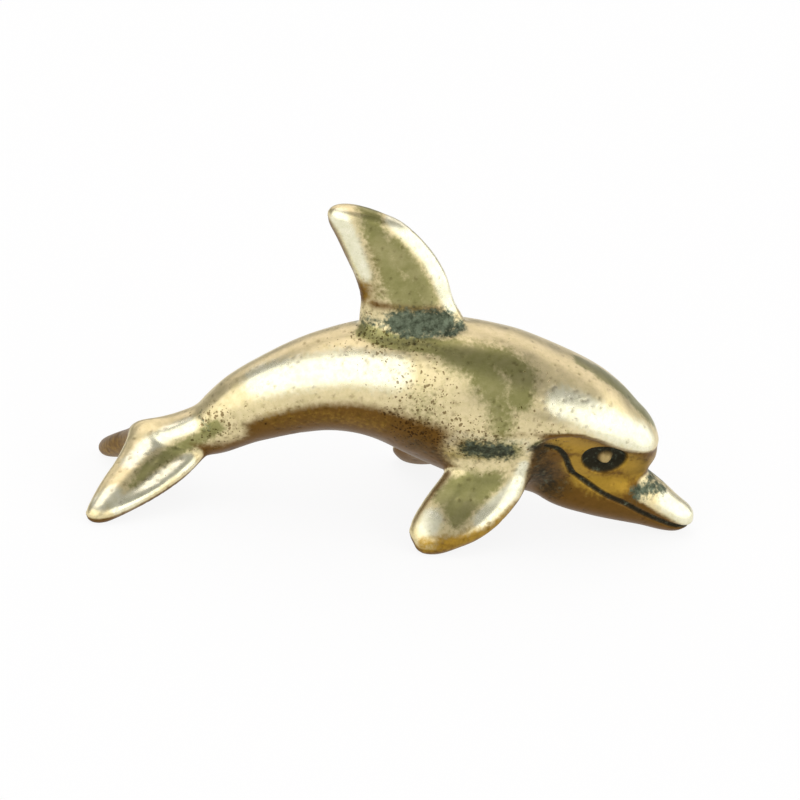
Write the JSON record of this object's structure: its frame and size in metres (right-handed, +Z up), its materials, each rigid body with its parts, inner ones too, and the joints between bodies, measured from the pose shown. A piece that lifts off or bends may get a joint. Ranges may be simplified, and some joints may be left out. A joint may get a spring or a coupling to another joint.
{
  "type": "dolphin figurine",
  "caption": "Solid cast brass dolphin in a leaping arch, with a tall dorsal fin, resting on its beak, pectoral fins and tail flukes.",
  "frame": {"origin": "on the resting plane, under the middle of the casting's bounding box", "axes": "+X from the tail to the beak, +Y to the dolphin's left, +Z up"},
  "size_m": [0.0506, 0.0184, 0.0265],
  "materials": {
    "antique_brass": "polished by hand, with dark patina in the recesses and small casting pits"
  },
  "bodies": {
    "root": {"dolphin_casting": "antique_brass"}
  },
  "joints": []
}
